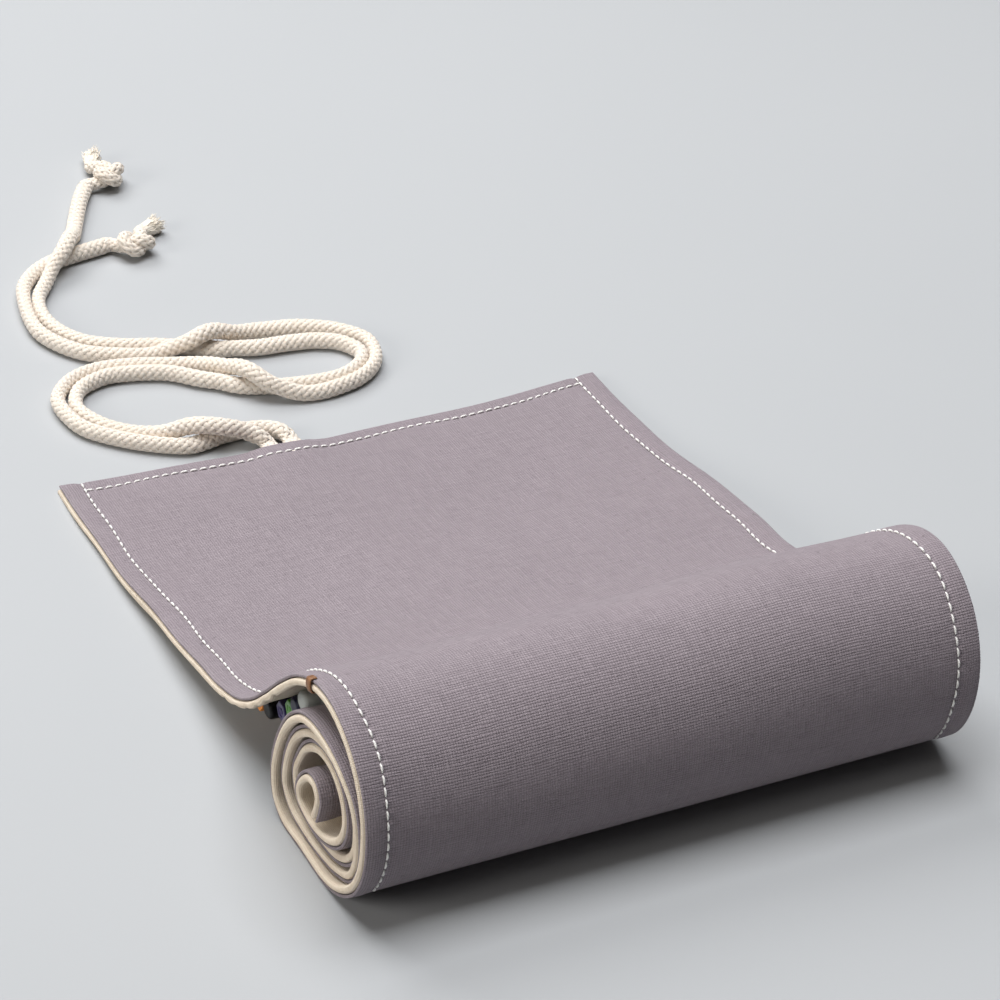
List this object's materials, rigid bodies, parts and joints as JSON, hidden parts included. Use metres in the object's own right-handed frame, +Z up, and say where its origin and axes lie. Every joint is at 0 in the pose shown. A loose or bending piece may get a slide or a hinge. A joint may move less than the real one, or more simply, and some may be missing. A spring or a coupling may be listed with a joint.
{
  "type": "brush roll case",
  "caption": "Canvas roll case for pens and pencils, part rolled up with its flap laid out flat and a doubled tie cord at the far hem.",
  "frame": {"origin": "under the middle of the case, on the surface it lies on, measured without the tie cord", "axes": "+X along the roll, towards the end away from the tools' blunt ends; +Y from the roll to the flap's free edge; +Z up"},
  "size_m": [0.205, 0.46, 0.0673],
  "materials": {
    "canvas": "coarse plain-weave cotton canvas, mauve grey",
    "lining": "natural cream cotton",
    "pocket": "natural cream cotton",
    "thread": "white sewing thread",
    "cord": "braided cream cotton cord",
    "cord_fibre": "loose cotton fibres",
    "leather": "oiled brown leather",
    "pencil_orange": "orange lacquer on wood",
    "pencil_violet": "violet lacquer on wood",
    "pencil_green": "green lacquer on wood",
    "pencil_core_orange": "waxy orange core",
    "pencil_core_violet": "waxy violet core",
    "pencil_core_green": "waxy green core",
    "pen_black": "black moulded plastic",
    "pen_navy": "dark blue moulded plastic",
    "pen_clear": "milky translucent moulded plastic",
    "steel": "bright steel"
  },
  "bodies": {
    "roll": {"canvas_roll": "canvas", "lining_roll": "lining", "pocket_panel_roll": "pocket", "pocket_seam_1": "thread", "pocket_seam_2": "thread", "pocket_seam_3": "thread", "pocket_seam_4": "thread", "pocket_seam_5": "thread", "pocket_seam_6": "thread", "pocket_seam_7": "thread", "pocket_end_seam": "thread", "left_stitch_roll": "thread", "right_stitch_roll": "thread", "edge_tab": "leather"},
    "flap": {"canvas_flap": "canvas", "lining_flap": "lining", "pocket_panel_flap": "pocket", "left_stitch_flap": "thread", "right_stitch_flap": "thread", "far_edge_stitch": "thread", "cord_fold": "cord", "cord_a": "cord", "cord_b": "cord", "knot_a": "cord", "knot_b": "cord", "frayed_end_a": "cord_fibre", "frayed_end_b": "cord_fibre"},
    "orange_pencil": {"orange_pencil_casing": "pencil_orange", "orange_pencil_core": "pencil_core_orange"},
    "black_pen": {"black_pen_barrel": "pen_black", "black_pen_nib": "steel", "black_pen_end_plug": "pen_black"},
    "black_pen_cap": {"black_pen_cap": "pen_black"},
    "violet_pencil": {"violet_pencil_casing": "pencil_violet", "violet_pencil_core": "pencil_core_violet"},
    "green_pencil": {"green_pencil_casing": "pencil_green", "green_pencil_core": "pencil_core_green"},
    "navy_pen": {"navy_pen_barrel": "pen_navy", "navy_pen_nib": "steel", "navy_pen_end_plug": "pen_navy"},
    "navy_pen_cap": {"navy_pen_cap": "pen_navy"},
    "clear_pen": {"clear_pen_barrel": "pen_clear", "clear_pen_nib": "steel", "clear_pen_end_plug": "pen_clear"},
    "clear_pen_cap": {"clear_pen_cap": "pen_clear"}
  },
  "joints": [
    {"name": "flap_fold", "type": "hinge", "parent": "roll", "child": "flap", "pos_m": [0, -0.01016, 0.01692], "axis": [1, 0, 0], "range_deg": [0, 90]},
    {"name": "orange_pencil_slide", "type": "slide", "parent": "roll", "child": "orange_pencil", "axis": [-1, 0, 0], "range_m": [0, 0.13]},
    {"name": "black_pen_slide", "type": "slide", "parent": "roll", "child": "black_pen", "axis": [-1, 0, 0], "range_m": [0, 0.13]},
    {"name": "black_cap_slide", "type": "slide", "parent": "black_pen", "child": "black_pen_cap", "axis": [-1, 0, 0], "range_m": [0, 0.045]},
    {"name": "violet_pencil_slide", "type": "slide", "parent": "roll", "child": "violet_pencil", "axis": [-1, 0, 0], "range_m": [0, 0.13]},
    {"name": "green_pencil_slide", "type": "slide", "parent": "roll", "child": "green_pencil", "axis": [-1, 0, 0], "range_m": [0, 0.13]},
    {"name": "navy_pen_slide", "type": "slide", "parent": "roll", "child": "navy_pen", "axis": [-1, 0, 0], "range_m": [0, 0.13]},
    {"name": "navy_cap_slide", "type": "slide", "parent": "navy_pen", "child": "navy_pen_cap", "axis": [-1, 0, 0], "range_m": [0, 0.045]},
    {"name": "clear_pen_slide", "type": "slide", "parent": "roll", "child": "clear_pen", "axis": [-1, 0, 0], "range_m": [0, 0.13]},
    {"name": "clear_cap_slide", "type": "slide", "parent": "clear_pen", "child": "clear_pen_cap", "axis": [-1, 0, 0], "range_m": [0, 0.045]}
  ]
}
